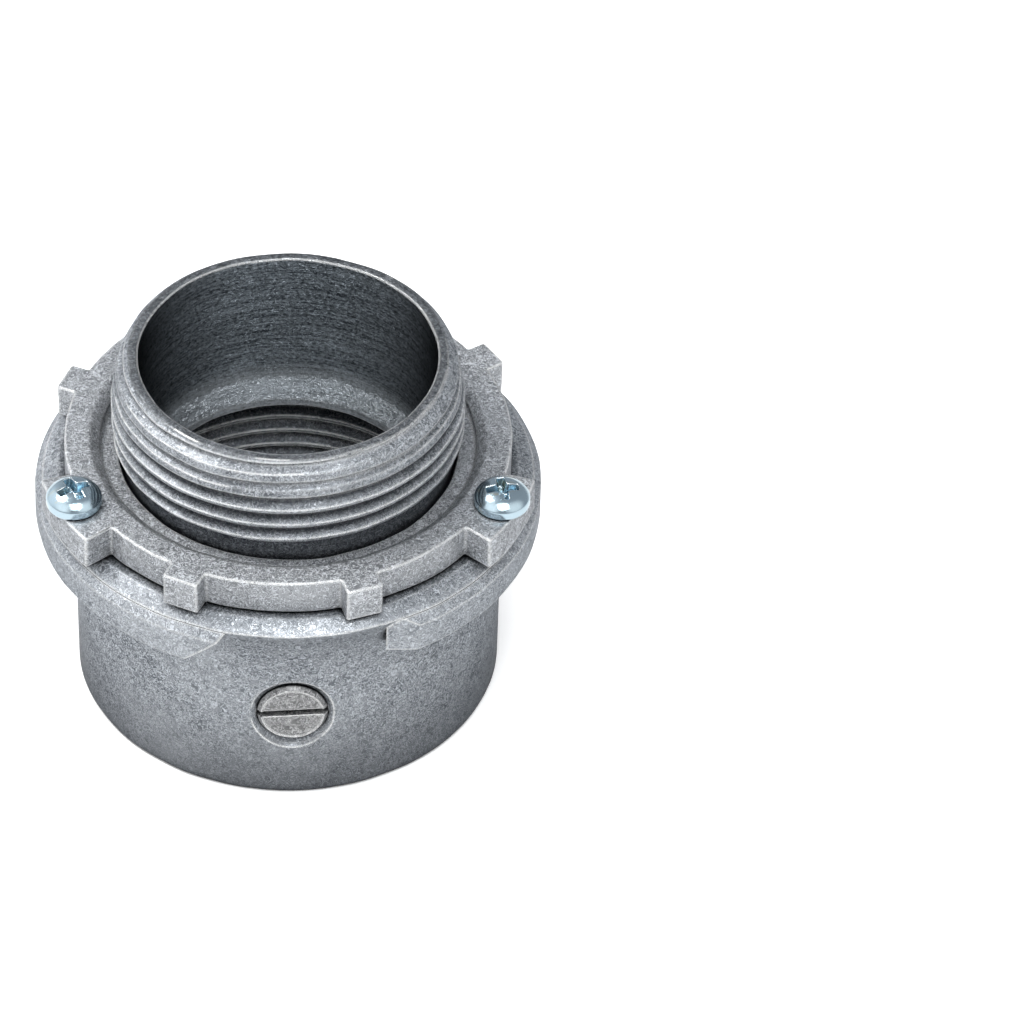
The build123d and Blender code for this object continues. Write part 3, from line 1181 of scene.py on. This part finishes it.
@dataclass
class Studio:
    """White room, soft lamps and the camera at the picture's angle.

    The base's centre and the focal length are in pixels of the frame.
    """

    floor_height: float = -0.0302
    floor_reach: float = 1500.0
    floor_dark: Colour = (0.88, 0.88, 0.88)
    floor_light: Colour = (0.91, 0.91, 0.91)
    floor_shown: float = 0.72
    floor_mirrored: float = 0.20
    shadow_reach: float = 22 * MM
    aim_height: float = -0.0298
    tilt: float = math.radians(43.25)
    frame: float = 1024.0
    focal: float = 5500.0
    pixels_per_mm: float = 8.1
    sensor: float = 36.0
    clip: tuple[float, float] = (0.01, 10.0)
    base_column: float = 288.07
    base_row: float = 642.96
    ambient: float = 0.55
    room: Colour = (0.42, 0.44, 0.47)
    lamps: tuple[Lamp, ...] = (
        Lamp("key", (-0.30, 0.12, 0.50), 0.22, 2.2, (1.0, 0.99, 0.97)),
        Lamp("front", (0.05, -0.30, 0.50), 0.30, 2.4, (0.97, 0.99, 1.0)),
    )
    glows: tuple[Glow, ...] = (
        Glow((-0.75, 0.35, 0.55), 22, 55, 1.25, (0.95, 0.98, 1.02)),
        Glow((0.70, -0.45, 0.55), 14, 38, 1.2),
        Glow((-0.62, -0.50, 0.60), 12, 34, 1.5),
        Glow((0.15, 0.75, 0.65), 18, 50, 0.42, (0.92, 0.97, 1.04)),
        Glow((0.0, -0.73, 0.68), 6, 20, 0.25),
    )

    def camera(self) -> None:
        """Aims the camera at the base's centre and shifts the frame to the picture's framing."""
        data = bpy.data.cameras.new("camera")
        data.sensor_width = self.sensor
        data.lens = self.focal / self.frame * self.sensor
        data.shift_x = (self.frame / 2 - self.base_column) / self.frame
        data.shift_y = (self.base_row - self.frame / 2) / self.frame
        data.clip_start, data.clip_end = self.clip
        away = Vector((0, -math.cos(self.tilt), math.sin(self.tilt)))
        distance = self.focal / self.pixels_per_mm * MM
        place = Vector((0, 0, self.aim_height)) + away * distance
        bpy.context.scene.camera = stood("camera", data, place, -away)

    def floor(self) -> None:
        """Lays a pale floor that shows as white and keeps the object's shadow."""
        reach = self.floor_reach
        corners = raised([(-reach, -reach), (reach, -reach), (reach, reach), (-reach, reach)],
                         self.floor_height / MM)
        ground = mesh_object("floor", [Shell(corners, [(0, 1, 2, 3)])])
        bench = NodeBench("pale_floor")
        speck = bench.span(bench.noise(40, 2), 0.3, 0.7)
        shade = bench.blend(speck, self.floor_dark, self.floor_light)
        open_air = bench.span(bench.crevices(self.shadow_reach), 0.15, 0.80)
        camera, mirrored = bench.seen()
        shown = bench.weighted((camera, self.floor_shown), (mirrored, self.floor_mirrored))
        ground.data.materials.append(bench.finished({
            "Base Color": shade, "Roughness": 0.9, "Emission Color": WHITE,
            "Emission Strength": bench.times(open_air, shown),
        }))

    def world(self) -> None:
        """Gives a surround that shows as white, with bright and dark parts for the metal."""
        bench = NodeBench("surround", surround=True)
        room: Colour | Socket = self.room
        for glow in self.glows:
            share = bench.toward(Vector(glow.toward), glow.core, glow.reach)
            room = bench.blend(share, room, tuple(glow.level * channel for channel in glow.tint))
        camera, mirrored = bench.seen()
        shown = bench.plus(camera, mirrored)
        bpy.context.scene.world = bench.finished({
            "Color": bench.blend(camera, room, WHITE),
            "Strength": bench.span(shown, 0.0, 1.0, self.ambient, 1.0),
        })

    def build(self) -> None:
        """Builds the whole studio."""
        self.camera()
        self.floor()
        self.world()
        for lamp in self.lamps:
            lamp.build()
        bpy.context.scene.view_settings.view_transform = "Standard"
        LOG.info("studio: camera, floor, surround and lamps")


def main() -> None:
    """Builds every piece in order."""
    logging.basicConfig(level=logging.INFO, format="%(name)s %(message)s")
    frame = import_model()
    hub = HubBody()
    body_finish = CastZinc("cast_zinc_body", dark=(0.122, 0.133, 0.147), light=(0.315, 0.33, 0.35),
                           bore=hub.bore * MM, bottom_shade_level=0.72, flange_highlight=0.13)
    nut_finish = CastZinc("cast_zinc_nut", dark=(0.205, 0.212, 0.224), light=(0.385, 0.397, 0.415),
                          crevice_shade_from=0.62, metal=0.72, wear_and_sheen_width=0.50 * MM)
    plug_finish = CastZinc("turned_zinc_plug", dark=(0.14, 0.14, 0.142), light=(0.30, 0.30, 0.302),
                           crevice_shade_reach=0.9 * MM, wear_and_sheen_width=0.2 * MM)
    hub.build(body_finish)
    Locknut().build(nut_finish)
    plating = PlatedSteel("bright_plating").material()
    BondingScrew("screw_left_steel", "bonding_screw_left", "screw_left", -63.5, 28.0).build(plating)
    BondingScrew("screw_right_steel", "bonding_screw_right", "screw_right", 63.5, 8.0).build(
        plating)
    SlottedPlug().build(plug_finish)
    ring = frame["nodes"]["sealing_ring"]
    ring.data.materials.clear()
    ring.data.materials.append(BlackRubber("sealing_rubber").material())
    LOG.info("sealing_ring: solid kept, rubber finish")
    Studio().build()


if __name__ == "__main__":
    main()
